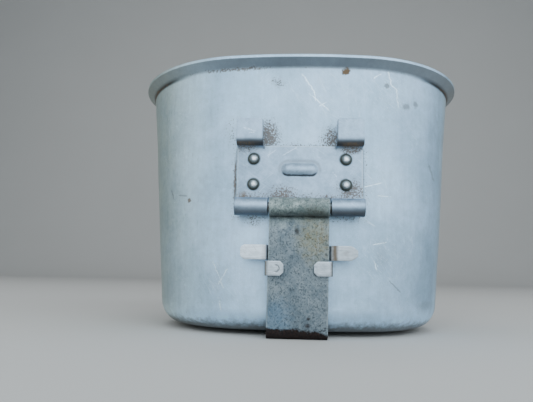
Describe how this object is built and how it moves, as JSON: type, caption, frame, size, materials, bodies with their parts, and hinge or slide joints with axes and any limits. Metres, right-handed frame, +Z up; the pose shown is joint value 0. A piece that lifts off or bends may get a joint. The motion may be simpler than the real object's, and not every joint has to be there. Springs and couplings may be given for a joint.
{
  "type": "canteen cup with folding handle",
  "caption": "Kidney-shaped drawn metal canteen cup with a flared rim, a riveted hinge bracket, a folding L-shaped strap handle and a sliding latch that locks it upright.",
  "frame": {"origin": "under the middle of the bounding box, at the level of the folded grip's underside, on which the cup stands", "axes": "+X across the cup to the right as seen from the handle side, +Y from the handle side to the hollow back, +Z up"},
  "size_m": [0.14, 0.0955, 0.103],
  "materials": {
    "drawn_aluminium": "satin, scratched and smudged",
    "bracket_aluminium": "satin, grimed",
    "rivet_aluminium": "satin",
    "pin_steel": "dull",
    "pitted_steel": "dull, pitted, rust at the lower bend",
    "bright_steel": "bright, finely scratched"
  },
  "bodies": {
    "cup": {"cup_body": "drawn_aluminium", "hinge_bracket": "bracket_aluminium", "rivet_upper_left": "rivet_aluminium", "rivet_upper_right": "rivet_aluminium", "rivet_lower_left": "rivet_aluminium", "rivet_lower_right": "rivet_aluminium", "hinge_pin": "pin_steel"},
    "handle": {"handle": "pitted_steel"},
    "latch": {"latch": "bright_steel"}
  },
  "joints": [
    {"name": "handle_hinge", "type": "hinge", "parent": "cup", "child": "handle", "pos_m": [0, -0.0445, 0.0458], "axis": [-1, 0, 0], "range_deg": [0, 180]},
    {"name": "latch_slide", "type": "slide", "parent": "handle", "child": "latch", "axis": [0, 0, -1], "range_m": [0, 0.0189]}
  ]
}
